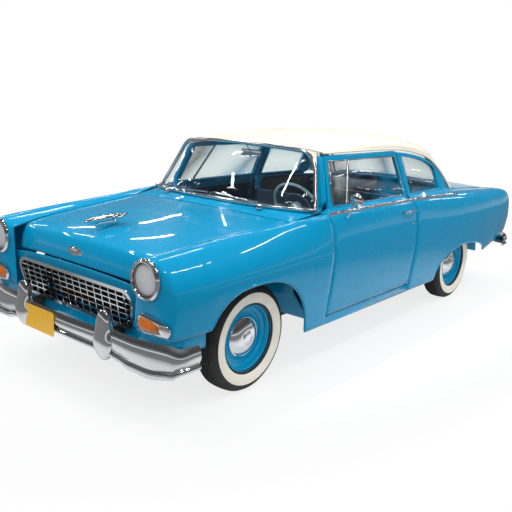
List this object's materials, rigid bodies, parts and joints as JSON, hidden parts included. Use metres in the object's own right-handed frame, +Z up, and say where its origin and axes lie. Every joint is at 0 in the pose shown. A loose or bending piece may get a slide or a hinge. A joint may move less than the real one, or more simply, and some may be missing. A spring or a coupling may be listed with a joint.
{
  "type": "vintage two-door sedan",
  "caption": "Full-size mid-century two-door sedan with egg-crate grille, chrome bumpers, opening doors, hood and trunk, steered front wheels and free-turning tyres.",
  "frame": {"origin": "on the ground under the middle of the car's box", "axes": "+X forward, +Y to the car's left, +Z up"},
  "size_m": [4.9676, 1.8858, 1.5362],
  "materials": {
    "blue_paint": "gloss turquoise-blue enamel",
    "ivory_paint": "gloss ivory enamel",
    "chrome": "bright plate",
    "black_paint": "semi-gloss black",
    "cast": "painted casting",
    "steel": "plain steel",
    "glass": "clear safety glass",
    "lamp_glass": "clear fluted lens",
    "amber": "amber lens",
    "red": "red lens",
    "trim": "navy cloth and vinyl",
    "wheel_rim": "moulded rim",
    "tyre": "black rubber with a pale sidewall"
  },
  "bodies": {
    "body": {"frame": "black_paint", "engine": "cast", "floor": "blue_paint", "front_panel": "blue_paint", "cowl": "blue_paint", "fender_left": "blue_paint", "fender_right": "blue_paint", "grille": "chrome", "front_bumper": "chrome", "rear_bumper": "chrome", "lamp_bezels": "chrome", "headlamp_lenses": "lamp_glass", "parking_lenses": "amber", "tail_lenses": "red", "quarter_left": "blue_paint", "quarter_right": "blue_paint", "quarter_window_frames": "blue_paint", "tail_panel": "blue_paint", "roof": "ivory_paint", "windshield": "glass", "rear_window": "glass", "quarter_glass": "glass", "dashboard": "blue_paint", "steering_column": "blue_paint", "front_seat": "trim", "rear_seat": "trim", "front_suspension": "black_paint", "rear_suspension": "black_paint", "exhaust": "steel", "fuel_tank": "steel"},
    "hood": {"hood": "blue_paint", "hood_ornament": "chrome"},
    "trunk_lid": {"trunk_lid": "blue_paint"},
    "door_left": {"door_left": "blue_paint", "door_glass_left": "glass", "door_trim_left": "chrome"},
    "door_right": {"door_right": "blue_paint", "door_glass_right": "glass", "door_trim_right": "chrome"},
    "steering_wheel": {"steering_wheel": "wheel_rim"},
    "knuckle_left": {"knuckle_left": "cast"},
    "knuckle_right": {"knuckle_right": "cast"},
    "wheel_front_left": {"wheel_front_left": "blue_paint", "tyre_front_left": "tyre"},
    "wheel_front_right": {"wheel_front_right": "blue_paint", "tyre_front_right": "tyre"},
    "wheel_rear_left": {"wheel_rear_left": "blue_paint", "tyre_rear_left": "tyre"},
    "wheel_rear_right": {"wheel_rear_right": "blue_paint", "tyre_rear_right": "tyre"}
  },
  "joints": [
    {"name": "hood_hinge", "type": "hinge", "parent": "body", "child": "hood", "pos_m": [1.225, 0, 1.032], "axis": [0, -1, 0], "range_deg": [0, 50]},
    {"name": "trunk_hinge", "type": "hinge", "parent": "body", "child": "trunk_lid", "pos_m": [-1.548, 0, 1.018], "axis": [0, 1, 0], "range_deg": [0, 60]},
    {"name": "door_left_hinge", "type": "hinge", "parent": "body", "child": "door_left", "pos_m": [0.95, 0.936, 0.68], "axis": [0, 0, -1], "range_deg": [0, 65]},
    {"name": "door_right_hinge", "type": "hinge", "parent": "body", "child": "door_right", "pos_m": [0.95, -0.936, 0.68], "axis": [0, 0, 1], "range_deg": [0, 65]},
    {"name": "steering", "type": "hinge", "parent": "body", "child": "steering_wheel", "pos_m": [0.639, 0.362, 0.985], "axis": [-0.8829, 0, 0.4695], "range_deg": [-720, 720]},
    {"name": "knuckle_left_turn", "type": "hinge", "parent": "body", "child": "knuckle_left", "pos_m": [1.659, 0.6415, 0.342], "axis": [0, 0, 1], "range_deg": [-33, 33]},
    {"name": "knuckle_right_turn", "type": "hinge", "parent": "body", "child": "knuckle_right", "pos_m": [1.659, -0.6415, 0.342], "axis": [0, 0, 1], "range_deg": [-33, 33]},
    {"name": "front_left_spin", "type": "hinge", "parent": "knuckle_left", "child": "wheel_front_left", "pos_m": [1.659, 0.7365, 0.342], "axis": [0, 1, 0], "continuous": true},
    {"name": "front_right_spin", "type": "hinge", "parent": "knuckle_right", "child": "wheel_front_right", "pos_m": [1.659, -0.7365, 0.342], "axis": [0, 1, 0], "continuous": true},
    {"name": "rear_left_spin", "type": "hinge", "parent": "body", "child": "wheel_rear_left", "pos_m": [-1.262, 0.747, 0.342], "axis": [0, 1, 0], "continuous": true},
    {"name": "rear_right_spin", "type": "hinge", "parent": "body", "child": "wheel_rear_right", "pos_m": [-1.262, -0.747, 0.342], "axis": [0, 1, 0], "continuous": true}
  ],
  "couplings": [
    {"joint": "knuckle_left_turn", "follows": "steering", "ratio": 0.0458},
    {"joint": "knuckle_right_turn", "follows": "steering", "ratio": 0.0458}
  ]
}
